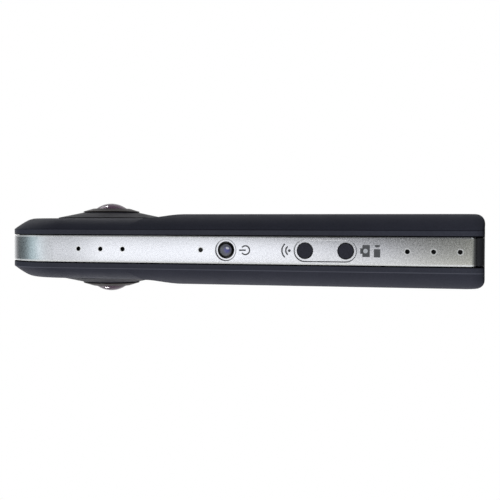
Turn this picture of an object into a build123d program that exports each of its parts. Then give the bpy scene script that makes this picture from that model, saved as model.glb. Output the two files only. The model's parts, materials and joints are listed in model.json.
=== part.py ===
from build123d import *
import math
import os

# A stick-shaped 360 degree camera with a fisheye lens on each face.
# X is the width, Y the lens axis, Z the length. The key side is +X, the front (shutter) is -Y.
# The origin is the middle of the flat base, on the axis of the tripod socket.

# Overall sizes
length = 130.6
width = 45.2
grip_depth = 18.4
head_depth = 16.2
lens_span = 25.0

# Outline seen from the front
top_corner_radius = 19.0
base_corner_radius = 3.0
base_edge_radius = 2.3
overrun = 2.0

# Section of the shells: an upright side, then a curve to the flat face
wall = 1.5
side_half = 5.1
side_half_inside = 4.4
grip_edge_run = 6.2
head_edge_run = 6.3
head_edge_angle = 30.0
edge_sections = 7

# Head and waist, measured from the top
head_length = 43.7
waist_length = 10.4
waist_tail = 7.0

# Seam between the shells and the side band
band_width = 7.0
seam_gap = 0.12
band_wall = 1.3
band_edge_chamfer = 0.3
band_start = 1.95
seam_bevel = 0.2
lip_depth = 0.9
lip_reach = 0.5
lip_root = 1.7
lip_start = 6.5
lip_clearance = 0.1

# Clearances
fit_gap = 0.1
slip_gap = 0.05

# Side controls: their heights are shares of the length
mode_place_share = 0.2542
wireless_place_share = 0.3323
power_place_share = 0.4885
status_place_share = 0.5394
key_opening_radius = 2.07
key_recess_radius = 2.6
key_recess_depth = 0.35
key_recess_bevel = 0.15
hole_bevel = 0.08
key_face_sink = 0.15
key_flange_radius = 2.65
key_flange_thickness = 0.6
key_stem_radius = 0.9
key_stem_entry = 0.3
power_dome_rise = 0.3
power_button_gap = 0.3

# Small round holes in the band
hole_radius = 0.55
hole_pitch = 6.24
speaker_first_hole = 5.69
hole_count = 3

# Lens groups, from the middle of the body outwards
lens_drop = 26.3
ring_radius = 14.95
ring_foot = 0.45
ring_edge_height = 0.28
ring_top_radius = 8.0
ring_top_height = 1.75
ring_bore_radius = 7.7
bezel_radius = 8.0
bezel_tip_low = 1.83
bezel_tip_high = 2.1
bezel_lip_height = 2.9
bezel_lip_width = 0.35
bezel_seat_radius = 7.6
bezel_seat_height = 1.1
dome_rim_radius = 4.85
dome_sphere_radius = 7.1
dome_rim_height = 0.6
dome_back_radius = 3.9
dome_back_rise = 1.1
barrel_radius = 7.6
barrel_inner_end = 3.6
barrel_neck_bore = 3.95
barrel_step_bore = 3.3
inner_lens_thickness = 1.5
inner_lens_bulge = 0.5
inner_lens_depth = 1.2
prism_half = 3.2
relay_radius = 2.9
relay_start = 3.6
relay_length = 4.0
relay_bulge = 0.4
sensor_size = 8.0
sensor_thickness = 0.8
sensor_board_thickness = 0.8
sensor_board_height = 13.0
lens_frame_half_width = 10.5
lens_frame_half_depth = 5.6
lens_frame_half_height = 9.2
shell_lens_opening = 7.8

# Middle frame
plate_thickness = 1.0
plate_start = 2.6
plate_neck_half = 9.5
plate_neck_length = 8.0
plate_lens_gap = 1.1
plate_edge_gap = 0.2
rail_half_depth = 1.5
rail_width = 1.0
rail_start = 22.0
foot_half_width = 9.0
foot_half_depth = 5.5
foot_top = 11.5

# Tripod insert, for a quarter inch screw
insert_radius = 4.5
insert_bore_radius = 2.55
insert_bore_depth = 6.5
insert_mouth_chamfer = 0.3
insert_height = 9.0
insert_flange_radius = 6.0
insert_flange_start = 2.0
insert_flange_thickness = 1.1

# Base cap
cap_thickness = 1.85
cap_side_recess = 0.4
cap_edge_chamfer = 0.25
cap_disc_radius = 6.2
cap_screw_place = 7.6
base_screw_radius = 0.7
base_screw_length = 5.0
base_screw_head_radius = 1.3
base_screw_head_height = 0.9

# Micro USB port
usb_side_gap = 8.1
usb_width = 7.5
usb_depth = 2.6
usb_height = 5.6
usb_sheet = 0.3
usb_recess = 0.4
usb_tongue_width = 4.4
usb_tongue_depth = 0.6
usb_tongue_height = 3.4

# Microphone jack, for a 3.5 mm plug
jack_side_gap = 8.9
jack_half_width = 3.0
jack_half_depth = 2.4
jack_height = 14.0
jack_bore_radius = 1.8
jack_bore_depth = 12.5
jack_collar_radius = 2.6

# Speaker box and its mesh
speaker_depth = 4.9
speaker_half = 2.6
speaker_margin = 1.6
mesh_thickness = 0.2
mesh_half = 1.4
mesh_margin = 1.2
cone_radius = 1.4
cone_depth = 0.5

# Microphone board
microphone_can = 0.9
microphone_board_thickness = 0.8
microphone_half = 1.5
microphone_board_half = 2.4
microphone_margin = 3.0

# Key board along the band
key_board_gap = 4.1
key_board_thickness = 0.8
key_board_half = 2.8
key_board_margin = 5.0
switch_half = 1.9
switch_height = 1.6
switch_bore_depth = 1.2
lamp_chip_half = 0.9
lamp_chip_height = 0.7
pipe_sink = 0.35

# Shutter release on the front face
shutter_drop = 10.5
shutter_radius = 5.4
shutter_sink = 0.15
shutter_crown = 0.12
shutter_flange_radius = 6.3
shutter_flange_thickness = 0.7
shutter_stem_radius = 1.5
shutter_board_half_width = 8.0
shutter_board_half_height = 8.0
shutter_board_thickness = 0.8
shutter_board_stand = 2.1
shutter_switch_half = 2.6
shutter_switch_height = 1.5
shutter_switch_bore = 1.1
shutter_stem_entry = 0.35
shutter_boss_radius = 1.4
shutter_boss_place = 6.0
shutter_ring_width = 0.7
shutter_ring_depth = 0.3

# Lamp window below the shutter
lamp_window_drop = 12.0
lamp_window_length = 9.6
lamp_window_radius = 1.1
lamp_window_sink = 0.1
lamp_flange_margin = 0.8
lamp_flange_thickness = 0.6

# Main board and what is on it
board_side_gap = 4.3
board_key_gap = 1.6
board_start = 5.2
board_neck_gap = 2.0
board_stand = 1.0
board_thickness = 0.8
stand_radius = 1.8
board_screw_inset = 2.6
board_screw_row_shares = (0.25, 0.95)
small_screw_radius = 0.7
small_screw_head_radius = 1.4
small_screw_head_height = 0.8
small_screw_slot = 0.35
small_screw_slot_depth = 0.4
processor_size = 12.0
processor_height = 1.3
processor_place_share = 0.77
memory_size = 9.0
memory_height = 1.0
memory_place_share = 0.555
wireless_width = 13.0
wireless_length = 10.0
wireless_can_height = 1.6
wireless_can_place_share = 0.353
spreader_width = 16.0
spreader_thickness = 0.5
connector_width = 6.0
connector_length = 3.0
connector_height = 1.1

# Battery
battery_side_gap = 6.8
battery_end_gap = 2.4
battery_shutter_gap = 1.5
battery_thickness = 5.4
battery_corner = 1.2
battery_flex_place = 10.5
battery_flex_width = 3.0
flex_thickness = 0.25

# Antenna above the lenses
carrier_reach = 2.6
carrier_half_depth = 2.4
carrier_wall = 1.0
antenna_thickness = 0.3
antenna_margin = 1.0

# Lens frame feet
frame_tab_place = 6.5
frame_tab_half = 2.2
frame_tab_length = 6.0
frame_tab_thickness = 1.5
frame_tab_root = 2.0
frame_screw_drop = 3.2

# Derived places
grip_half = grip_depth / 2
head_half = head_depth / 2
half_width = width / 2
split_half = band_width / 2 + seam_gap
band_half = band_width / 2
band_inside = half_width - band_wall
usb_place = usb_side_gap - band_inside
jack_place = band_inside - jack_side_gap
key_board_place = band_inside - key_board_gap
board_low_x = board_side_gap - band_inside
board_high_x = key_board_place - board_key_gap
board_screw_x = board_high_x - board_screw_inset
battery_half_width = band_inside - battery_side_gap
carrier_half_width = half_width - top_corner_radius + carrier_reach
plate_half = plate_thickness / 2
board_low = plate_half + board_stand
board_high = board_low + board_thickness
lens_height = length - lens_drop
waist_high = length - head_length
waist_low = waist_high - waist_length
waist_mid_height = (waist_low + waist_high) / 2
waist_mid_half = (grip_half + head_half) / 2
half_share = math.sqrt(0.5)
mode_height = length * mode_place_share
wireless_height = length * wireless_place_share
power_height = length * power_place_share
status_height = length * status_place_share
plate_top = lens_height - lens_frame_half_height - plate_lens_gap
plate_neck_start = plate_top - plate_neck_length
board_top = plate_neck_start - board_neck_gap
board_screw_rows = [board_start + (board_top - board_start) * share for share in board_screw_row_shares]
processor_place = board_start + (board_top - board_start) * processor_place_share
memory_place = board_start + (board_top - board_start) * memory_place_share
wireless_can_place = board_start + (board_top - board_start) * wireless_can_place_share
shutter_height = waist_low - shutter_drop
lamp_window_height = shutter_height - lamp_window_drop
battery_start = jack_height + battery_end_gap
battery_top = shutter_height - shutter_board_half_height - battery_shutter_gap
microphone_first_hole = lens_height - hole_pitch * (hole_count - 1)


def slab(x_range, y_range, z_range):
    """Box between two places on each axis."""
    low = Vector(x_range[0], y_range[0], z_range[0])
    high = Vector(x_range[1], y_range[1], z_range[1])
    size = high - low
    middle = (low + high) * 0.5
    return Pos(*middle) * Box(*size)


def spread(middle, half):
    """Range of a given half size about a place."""
    return (middle - half, middle + half)


def rod_x(radius, x_range, y, z):
    """Round bar along X."""
    low, high = x_range
    return Pos((low + high) / 2, y, z) * Rot(0, 90, 0) * Cylinder(radius, high - low)


def rod_y(radius, y_range, x, z):
    """Round bar along Y."""
    low, high = y_range
    return Pos(x, (low + high) / 2, z) * Rot(90, 0, 0) * Cylinder(radius, high - low)


def rod_z(radius, z_range, x, y):
    """Round bar along Z."""
    low, high = z_range
    return Pos(x, y, (low + high) / 2) * Cylinder(radius, high - low)


def turned(points):
    """Ring or disc turned about the lens axis from a closed run of (radius, place) points."""
    return Pos(0, 0, lens_height) * revolve(make_face(Polyline(*points, close=True)), Axis.Y)


def ball_radius(rim_radius, rise):
    """Radius of the ball whose cap has a given rim and rise."""
    return (rim_radius**2 + rise**2) / (2 * rise)


def to_front(rear_piece):
    """The front lens group is the rear one turned half round about Z."""
    return Rot(0, 0, 180) * rear_piece


def outline(side_inset, top, base, top_radius, base_radius):
    """Front outline of the body with rounded corners, drawn in X and Z."""
    half = half_width - side_inset
    high_line = top - top_radius
    low_line = base + base_radius
    top_line = half - top_radius
    base_line = half - base_radius
    top_mid = top_radius * half_share
    base_mid = base_radius * half_share
    edges = [
        Line((-base_line, base), (base_line, base)),
        ThreePointArc((base_line, base), (base_line + base_mid, low_line - base_mid), (half, low_line)),
        Line((half, low_line), (half, high_line)),
        ThreePointArc((half, high_line), (top_line + top_mid, high_line + top_mid), (top_line, top)),
        Line((top_line, top), (-top_line, top)),
        ThreePointArc((-top_line, top), (-top_line - top_mid, high_line + top_mid), (-half, high_line)),
        Line((-half, high_line), (-half, low_line)),
        ThreePointArc((-half, low_line), (-base_line - base_mid, low_line - base_mid), (-base_line, base)),
    ]
    return make_face(edges)


def arc_sections(face_half, radius, run, start_angle):
    """Insets and depths along an arc that ends flush with the face after a given run."""
    sections = []
    for step in range(edge_sections):
        angle = start_angle + (math.pi / 2 - start_angle) * step / (edge_sections - 1)
        depth = face_half - radius * (1 - math.sin(angle))
        inset = run - radius * math.cos(angle)
        sections.append((inset, depth))
    return sections


def side_angle(inset, start_half):
    """Angle at which the side of the grip leaves the upright wall."""
    rise = grip_half - inset - start_half
    radius = (grip_edge_run**2 + rise**2) / (2 * rise)
    return math.asin((radius - rise) / radius)


def upright_side(inset, start_half, first_half, bevel):
    """Upright wall of a half body beside the seam, with a small bevel at the seam."""
    def section(step_in, depth):
        corner = top_corner_radius - inset - step_in
        wall_outline = outline(inset + step_in, length - inset - step_in, inset + step_in, corner,
                               base_corner_radius)
        return Plane.XZ.offset(depth) * wall_outline

    form = extrude(section(0, first_half + bevel), start_half - first_half - bevel)
    if bevel:
        form += loft([section(bevel, first_half), section(0, first_half + bevel)])
    return form


def grip_form(inset, start_half, first_half, bevel):
    """Front half of the grip, shrunk by an inset, from first_half to its face."""
    face_half = grip_half - inset
    angle = side_angle(inset, start_half)
    radius = grip_edge_run / math.cos(angle)
    round_centre = face_half - base_edge_radius
    form = upright_side(inset, start_half, first_half, bevel)
    faces = []
    for run, depth in arc_sections(face_half, radius, grip_edge_run, angle):
        past_centre = max(depth - round_centre, 0)
        base_run = base_edge_radius - math.sqrt(base_edge_radius**2 - past_centre**2)
        corner = top_corner_radius - inset - run * half_share
        section = outline(inset + run, length - inset - run, inset + base_run, corner, base_corner_radius)
        faces.append(Plane.XZ.offset(depth) * section)
    form += loft(faces)
    return form & waist_keep(inset)


def waist_keep(inset):
    """Side profile that lets the grip run down to the thinner head."""
    high = grip_half - inset
    low = head_half - inset
    slope = Spline(
        (-high, waist_low),
        (-waist_mid_half + inset, waist_mid_height),
        (-low, waist_high),
        tangents=((0, 1), (0, 1)),
    )
    rest = Polyline(
        (-low, waist_high),
        (-side_half_inside, waist_high + waist_tail),
        (overrun, waist_high + waist_tail),
        (overrun, -overrun),
        (-grip_half - overrun, -overrun),
        (-grip_half - overrun, waist_low),
        (-high, waist_low),
    )
    profile = make_face([slope, *rest.edges()])
    return extrude(Plane.YZ * profile, half_width + overrun, both=True)


def head_form(inset, start_half, first_half, bevel):
    """Front half of the head, shrunk by an inset: sides as on the grip, a bevelled top edge."""
    face_half = head_half - inset
    side_start = side_angle(inset, start_half)
    side_radius = (face_half - start_half) / (1 - math.sin(side_start))
    side_run = side_radius * math.cos(side_start)
    side_centre = face_half - side_radius
    angle = math.radians(head_edge_angle)
    span = math.sin(angle) * math.tan(angle) - (1 - math.cos(angle))
    radius = (head_edge_run * math.tan(angle) - (face_half - start_half)) / span
    bevel_run = head_edge_run - radius * math.sin(angle)
    bevel_half = start_half + bevel_run * math.tan(angle)

    def section(top_run, depth):
        past_centre = depth - side_centre
        run = side_run - math.sqrt(max(side_radius**2 - past_centre**2, 0))
        corner = top_corner_radius - inset - top_run * half_share
        low = waist_low - grip_edge_run
        return Plane.XZ.offset(depth) * outline(inset + run, length - inset - top_run, low, corner, corner)

    form = upright_side(inset, start_half, first_half, bevel)
    bevel_steps = [step / (edge_sections // 2) for step in range(edge_sections // 2 + 1)]
    slope = [(bevel_run * step, start_half + (bevel_half - start_half) * step) for step in bevel_steps]
    form += loft([section(run, depth) for run, depth in slope])
    rounding = arc_sections(face_half, radius, head_edge_run, math.pi / 2 - angle)
    form += loft([section(run, depth) for run, depth in rounding])
    return form


def front_half_shell():
    """Front casing without its openings: outer form less the hollow, with the seam lip."""
    outer = grip_form(0, side_half, split_half, seam_bevel) + head_form(0, side_half, split_half, seam_bevel)
    hollow = grip_form(wall, side_half_inside, 0, 0) + head_form(wall, side_half_inside, 0, 0)
    lip_outside = band_wall + lip_clearance
    lip_inside = lip_outside + lip_depth
    ring = outline(lip_outside, length - lip_outside, wall, top_corner_radius - lip_outside, base_corner_radius)
    ring -= outline(lip_inside, length - lip_inside, -overrun, top_corner_radius - lip_inside, base_corner_radius)
    lip = extrude(Plane.XZ.offset(split_half - lip_reach) * ring, lip_reach + lip_root)
    lip &= slab((-half_width, half_width), (-grip_half, 0), (lip_start, length))
    return outer - hollow + lip


def lens_seat(shell):
    """Recess for the lens ring and the hole for the barrel, in a front shell."""
    deep = (-grip_half - overrun, -head_half + ring_foot)
    shell -= rod_y(ring_radius + slip_gap, deep, 0, lens_height)
    shell -= rod_y(shell_lens_opening, (-grip_half - overrun, 0), 0, lens_height)
    return shell


def base_notch(shell):
    """Half-round notch for the disc of the base cap."""
    return shell - rod_z(cap_disc_radius + fit_gap, (-overrun, wall + overrun / 2), 0, 0)


def build_shells():
    plain = base_notch(lens_seat(front_half_shell()))
    rear = mirror(plain, about=Plane.XZ)
    through = (-grip_half - overrun, -head_half + wall)
    front = plain - rod_y(shutter_radius + fit_gap, through, 0, shutter_height)
    ring_floor = (-grip_half - overrun, -grip_half + shutter_ring_depth)
    front -= rod_y(shutter_radius + shutter_ring_width, ring_floor, 0, shutter_height)
    front -= lamp_slot(lamp_window_length, lamp_window_radius, through, slip_gap)
    return front, rear


def lamp_slot(slot_length, radius, y_range, gap):
    """Pill-shaped bar along Y, for the lamp window and its hole."""
    run = slot_length / 2 - radius
    bar = rod_y(radius + gap, y_range, -run, lamp_window_height)
    bar += rod_y(radius + gap, y_range, run, lamp_window_height)
    bar += slab((-run, run), y_range, spread(lamp_window_height, radius + gap))
    return bar


def build_band():
    """Metal band round the sides and top, with the key openings and small holes on +X."""
    ring = outline(0, length, 0, top_corner_radius, base_corner_radius)
    ring -= outline(band_wall, length - band_wall, -overrun, top_corner_radius - band_wall, base_corner_radius)
    band = extrude(Plane.XZ * ring, band_half, both=True)
    band &= slab((-half_width, half_width), (-band_half, band_half), (band_start, length))
    rims = band.faces().filter_by(Plane.XZ)
    outer_edges = [edge for face in rims for edge in face.edges() if on_outside(edge)]
    band = chamfer(outer_edges, band_edge_chamfer)
    through = (band_inside - overrun, half_width + overrun)
    recess = (half_width - key_recess_depth, half_width + overrun)
    for height in (power_height, wireless_height, mode_height):
        band -= rod_x(key_opening_radius, through, 0, height)
        band -= rod_x(key_recess_radius, recess, 0, height)
    band -= slab(recess, (-key_recess_radius, key_recess_radius), (mode_height, wireless_height))
    for height in band_holes():
        band -= rod_x(hole_radius, through, 0, height)
    key_side = band.faces().sort_by(Axis.X)[-1]
    recess_rims = [rim for rim in key_side.inner_wires() if rim.bounding_box().size.Y > key_recess_radius]
    band = chamfer([edge for rim in recess_rims for edge in rim.edges()], key_recess_bevel)
    key_side = band.faces().sort_by(Axis.X)[-1]
    hole_rims = [rim for rim in key_side.inner_wires() if rim.bounding_box().size.Y < key_recess_radius]
    return chamfer([edge for rim in hole_rims for edge in rim.edges()], hole_bevel)


def on_outside(edge):
    """True for an edge of the band's outer outline, above its cut ends."""
    middle = edge.position_at(0.5)
    across = max(abs(middle.X) - half_width + top_corner_radius, 0)
    above = max(middle.Z - length + top_corner_radius, 0)
    return math.hypot(across, above) > top_corner_radius - band_wall / 2


def hole_row(first):
    """Heights of one row of small holes."""
    return [first + hole_pitch * step for step in range(hole_count)]


def band_holes():
    """Heights of every small hole in the band."""
    return [status_height] + hole_row(speaker_first_hole) + hole_row(microphone_first_hole)


def build_base_cap():
    """Dark strip between the shells at the base, with a round middle and the ports' openings."""
    strip = outline(cap_side_recess, length, 0, top_corner_radius, base_corner_radius)
    cap = extrude(Plane.XZ * strip, band_half, both=True)
    cap &= slab((-half_width, half_width), (-band_half, band_half), (0, cap_thickness))
    cap += rod_z(cap_disc_radius, (0, cap_thickness), 0, 0)
    cap -= rod_z(insert_radius + fit_gap, (-overrun, cap_thickness + overrun), 0, 0)
    through = (-overrun, cap_thickness + overrun)
    usb_half = usb_width / 2 + fit_gap
    cap -= slab(spread(usb_place, usb_half), (-usb_depth / 2 - fit_gap, usb_depth / 2 + fit_gap), through)
    cap -= rod_z(jack_collar_radius + fit_gap, through, jack_place, 0)
    cap = chamfer(cap.faces().sort_by(Axis.Z)[0].outer_wire().edges(), cap_edge_chamfer)
    for side in (-1, 1):
        place = side * cap_screw_place
        cap -= rod_z(base_screw_radius + fit_gap, through, place, 0)
        head_range = (-overrun, base_screw_head_height + fit_gap)
        cap -= rod_z(base_screw_head_radius + fit_gap, head_range, place, 0)
    return cap


def build_lens_parts():
    """The rear lens group, whose turned copy is the front one."""
    face = head_half
    dome_top = lens_span / 2
    dome_edge = dome_top - dome_sphere_radius + math.sqrt(dome_sphere_radius**2 - dome_rim_radius**2)
    dome_seat = dome_edge - dome_rim_height
    ring = turned([
        (ring_bore_radius, face - ring_foot),
        (ring_radius, face - ring_foot),
        (ring_radius, face + ring_edge_height),
        (ring_top_radius, face + ring_top_height),
        (ring_bore_radius, face + ring_top_height),
    ])
    bore = dome_rim_radius + slip_gap
    bezel = turned([
        (bore, face + bezel_seat_height),
        (bezel_seat_radius, face + bezel_seat_height),
        (bezel_seat_radius, face + bezel_tip_low),
        (bezel_radius - fit_gap, face + bezel_tip_low),
        (bezel_radius, face + (bezel_tip_low + bezel_tip_high) / 2),
        (bezel_radius - fit_gap, face + bezel_tip_high),
        (bore + bezel_lip_width, face + bezel_lip_height),
        (bore, face + bezel_lip_height),
    ])
    back_radius = ball_radius(dome_back_radius, dome_back_rise)
    dome = rod_y(dome_rim_radius, (dome_seat, dome_top), 0, lens_height)
    dome &= Pos(0, dome_top - dome_sphere_radius, lens_height) * Sphere(dome_sphere_radius)
    dome -= Pos(0, dome_seat + dome_back_rise - back_radius, lens_height) * Sphere(back_radius)
    barrel_top = face + bezel_seat_height - slip_gap
    neck_top = dome_seat - slip_gap
    step = neck_top - inner_lens_depth - inner_lens_thickness
    barrel = turned([
        (barrel_step_bore, barrel_inner_end),
        (barrel_radius, barrel_inner_end),
        (barrel_radius, barrel_top),
        (dome_rim_radius, barrel_top),
        (dome_rim_radius, neck_top),
        (barrel_neck_bore, neck_top),
        (barrel_neck_bore, step),
        (barrel_step_bore, step),
    ])
    lens_low = step + slip_gap
    lens_high = lens_low + inner_lens_thickness
    lens_rim = barrel_neck_bore - slip_gap
    bulge_radius = ball_radius(lens_rim, inner_lens_bulge)
    inner_lens = rod_y(lens_rim, (lens_low, lens_high), 0, lens_height)
    inner_lens &= Pos(0, lens_high - bulge_radius, lens_height) * Sphere(bulge_radius)
    return {"lens_ring": ring, "lens_bezel": bezel, "dome_lens": dome, "lens_barrel": barrel,
            "inner_lens": inner_lens}


def build_folded_optics():
    """Rear prism, relay lens, sensor and its board: the prism turns the light towards -X."""
    edge = prism_half
    cut = slip_gap * 2
    prism_face = make_face(Polyline((-edge, edge), (edge - cut, edge), (-edge, -edge + cut), close=True))
    prism = extrude(Plane.XY.offset(lens_height) * prism_face, prism_half, both=True)
    relay_end = relay_start + relay_length
    bulge_radius = ball_radius(relay_radius, relay_bulge)
    relay = rod_x(relay_radius, (-relay_end, -relay_start), 0, lens_height)
    relay &= Pos(bulge_radius - relay_end, 0, lens_height) * Sphere(bulge_radius)
    board_inside = lens_frame_half_width + slip_gap
    sensor_range = (-board_inside, -board_inside + sensor_thickness)
    half_sensor = sensor_size / 2
    sensor = slab(sensor_range, (-half_sensor, half_sensor), spread(lens_height, half_sensor))
    board_range = (-board_inside - slip_gap - sensor_board_thickness, -board_inside - slip_gap)
    board_half = lens_frame_half_depth - fit_gap
    board = slab(board_range, (-board_half, board_half), spread(lens_height, sensor_board_height / 2))
    return {"prism": prism, "relay_lens": relay, "image_sensor": sensor, "sensor_board": board}


def build_sensor_flex():
    """Thin strip from the rear sensor board down to the main board."""
    outside = lens_frame_half_width + slip_gap * 3 + sensor_board_thickness
    strip_x = (-outside - flex_thickness, -outside)
    reach = connector_width / 2
    low_reach = board_high + fit_gap
    upper = slab(strip_x, (-reach, reach + board_high), (plate_neck_start + overrun, lens_height))
    lower_start = board_top - connector_length
    lower = slab(strip_x, (low_reach, reach + board_high), (lower_start, plate_neck_start + overrun))
    return upper + lower


def build_lens_frame():
    """Cast block that holds both barrels, the prisms and the sensors in line."""
    half_x = lens_frame_half_width
    half_y = lens_frame_half_depth
    block = slab((-half_x, half_x), (-half_y, half_y), spread(lens_height, lens_frame_half_height))
    for side in (-1, 1):
        bore_range = sorted((side * (barrel_inner_end - slip_gap), side * (half_y + overrun)))
        block -= rod_y(barrel_radius + slip_gap, bore_range, 0, lens_height)
        relay_range = sorted((0, side * (half_x + overrun)))
        block -= rod_x(relay_radius + slip_gap, relay_range, 0, lens_height)
        pocket_x = sorted((side * (half_x - sensor_thickness), side * (half_x + overrun)))
        pocket_half = sensor_size / 2 + fit_gap
        block -= slab(pocket_x, (-pocket_half, pocket_half), spread(lens_height, pocket_half))
    pocket = prism_half + slip_gap
    block -= slab((-pocket, pocket), (-barrel_inner_end, barrel_inner_end), spread(lens_height, pocket))
    bottom = lens_height - lens_frame_half_height
    tab_y = (plate_half + slip_gap, plate_half + slip_gap + frame_tab_thickness)
    for side in (-1, 1):
        place = side * frame_tab_place
        block += slab(spread(place, frame_tab_half), tab_y, (bottom - frame_tab_length, bottom + frame_tab_root))
        block -= rod_y(small_screw_radius + fit_gap, (0, half_y), place, bottom - frame_screw_drop)
    return block


def screw_y(x, z, seat):
    """Small screw along Y whose head stands on a seat and whose shank ends in the plate."""
    head_top = seat + small_screw_head_height
    screw = rod_y(small_screw_head_radius, (seat, head_top), x, z)
    screw += rod_y(small_screw_radius, (-plate_half, seat), x, z)
    slot_y = (head_top - small_screw_slot_depth, head_top + overrun)
    arm = small_screw_head_radius - small_screw_slot
    screw -= slab(spread(x, arm), slot_y, spread(z, small_screw_slot / 2))
    screw -= slab(spread(x, small_screw_slot / 2), slot_y, spread(z, arm))
    return screw


def build_frame_screws():
    seat = plate_half + slip_gap * 2 + frame_tab_thickness
    height = lens_height - lens_frame_half_height - frame_screw_drop
    return [screw_y(side * frame_tab_place, height, seat) for side in (-1, 1)]


def build_board_screws():
    seat = board_high + slip_gap
    return [screw_y(side * board_screw_x, row, seat) for side in (-1, 1) for row in board_screw_rows]


def build_mid_frame():
    """Plate down the middle of the body, with a foot for the tripod insert, stands and rails."""
    edge = band_inside - plate_edge_gap
    y_range = (-plate_half, plate_half)
    frame = slab((-edge, edge), y_range, (plate_start, plate_neck_start))
    frame += slab((-plate_neck_half, plate_neck_half), y_range, (plate_start, plate_top))
    key_low = mode_height - key_board_margin - fit_gap
    key_high = status_height + key_board_margin + fit_gap
    through = (-rail_half_depth - overrun, rail_half_depth + overrun)
    frame -= slab((key_board_place - fit_gap, half_width), through, (key_low, key_high))
    speaker_inside = band_inside - mesh_thickness - speaker_depth - fit_gap * 3
    frame -= slab((speaker_inside, half_width), through, (plate_start - overrun, speaker_top() + fit_gap))
    frame += slab((-edge, -edge + rail_width), (-rail_half_depth, rail_half_depth), (rail_start, board_top))
    for x_place in (-board_screw_x, board_screw_x):
        for row in board_screw_rows:
            frame += rod_y(stand_radius, (0, board_low - slip_gap), x_place, row)
            frame -= rod_y(small_screw_radius + slip_gap, through, x_place, row)
    foot = slab((-foot_half_width, foot_half_width), (-foot_half_depth, foot_half_depth),
                (cap_thickness + fit_gap, foot_top))
    frame += foot
    frame -= rod_z(insert_radius + fit_gap, (0, insert_height + fit_gap), 0, 0)
    flange_range = (0, insert_flange_start + insert_flange_thickness + fit_gap)
    frame -= rod_z(insert_flange_radius + fit_gap, flange_range, 0, 0)
    usb_half = usb_width / 2 + fit_gap * 2
    frame -= slab(spread(usb_place, usb_half), through, (0, usb_height + usb_recess + fit_gap * 2))
    jack_half = jack_half_width + fit_gap * 2
    frame -= slab(spread(jack_place, jack_half), through, (0, jack_height + fit_gap * 2))
    for side in (-1, 1):
        frame -= rod_z(base_screw_radius + slip_gap, (0, base_screw_length + fit_gap), side * cap_screw_place, 0)
    for side in (-1, 1):
        place = side * shutter_boss_place
        frame += rod_y(shutter_boss_radius, (-shutter_board_high(), 0), place, shutter_height + place)
    screw_row = lens_height - lens_frame_half_height - frame_screw_drop
    for side in (-1, 1):
        frame -= rod_y(small_screw_radius + slip_gap, through, side * frame_tab_place, screw_row)
    slot_half = battery_flex_width / 2 + fit_gap
    slot_z = (battery_top, battery_top + flex_thickness + fit_gap * 3)
    frame -= slab(spread(battery_flex_place, slot_half), through, slot_z)
    return frame


def speaker_top():
    """Top of the speaker box, above its last hole."""
    return hole_row(speaker_first_hole)[-1] + speaker_margin


def shutter_board_high():
    """Distance from the middle plane to the inner side of the shutter board."""
    return plate_half + shutter_board_stand


def build_tripod_insert():
    """Brass insert with a blind hole for the tripod screw and a flange that the foot holds."""
    insert = rod_z(insert_radius, (0, insert_height), 0, 0)
    flange_end = insert_flange_start + insert_flange_thickness
    insert += rod_z(insert_flange_radius, (insert_flange_start, flange_end), 0, 0)
    insert -= rod_z(insert_bore_radius, (-overrun, insert_bore_depth), 0, 0)
    mouth = insert_bore_radius + insert_mouth_chamfer
    insert -= Pos(0, 0, insert_mouth_chamfer / 2) * Cone(mouth, insert_bore_radius, insert_mouth_chamfer)
    return insert


def build_base_screws():
    screws = []
    for side in (-1, 1):
        place = side * cap_screw_place
        screw = rod_z(base_screw_radius, (base_screw_head_height, base_screw_length), place, 0)
        screw += rod_z(base_screw_head_radius, (fit_gap, base_screw_head_height), place, 0)
        slot_z = (-overrun, fit_gap + small_screw_slot_depth)
        arm = base_screw_head_radius - small_screw_slot
        screw -= slab(spread(place, arm), spread(0, small_screw_slot / 2), slot_z)
        screw -= slab(spread(place, small_screw_slot / 2), spread(0, arm), slot_z)
        screws.append(screw)
    return screws


def build_usb_port():
    """Sheet metal socket, open downwards, and the tongue inside it."""
    half_x = usb_width / 2
    half_y = usb_depth / 2
    top = usb_recess + usb_height
    socket = slab(spread(usb_place, half_x), (-half_y, half_y), (usb_recess, top))
    inner_x = half_x - usb_sheet
    inner_y = half_y - usb_sheet
    socket -= slab(spread(usb_place, inner_x), (-inner_y, inner_y), (0, top - usb_sheet))
    tongue_top = top - usb_sheet - slip_gap
    tongue_x = spread(usb_place, usb_tongue_width / 2)
    tongue_y = (-usb_tongue_depth / 2, usb_tongue_depth / 2)
    tongue = slab(tongue_x, tongue_y, (tongue_top - usb_tongue_height, tongue_top))
    return socket, tongue


def build_audio_jack():
    """Jack body with a round collar that comes through the base cap."""
    body_z = (cap_thickness + fit_gap, jack_height)
    jack = slab(spread(jack_place, jack_half_width), (-jack_half_depth, jack_half_depth), body_z)
    jack += rod_z(jack_collar_radius, (fit_gap, cap_thickness + fit_gap), jack_place, 0)
    jack -= rod_z(jack_bore_radius, (-overrun, jack_bore_depth), jack_place, 0)
    return jack


def build_speaker():
    """Flat speaker behind the lower holes, with three shallow cones in its face."""
    outside = band_inside - mesh_thickness - slip_gap * 2
    low = speaker_first_hole - speaker_margin
    box = slab((outside - speaker_depth, outside), (-speaker_half, speaker_half), (low, speaker_top()))
    for height in hole_row(speaker_first_hole):
        box -= rod_x(cone_radius, (outside - cone_depth, outside + overrun), 0, height)
    return box


def build_mesh(first):
    """Thin mesh strip on the inside of the band, behind one row of holes."""
    last = hole_row(first)[-1]
    x_range = (band_inside - slip_gap - mesh_thickness, band_inside - slip_gap)
    return slab(x_range, (-mesh_half, mesh_half), (first - mesh_margin, last + mesh_margin))


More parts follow.
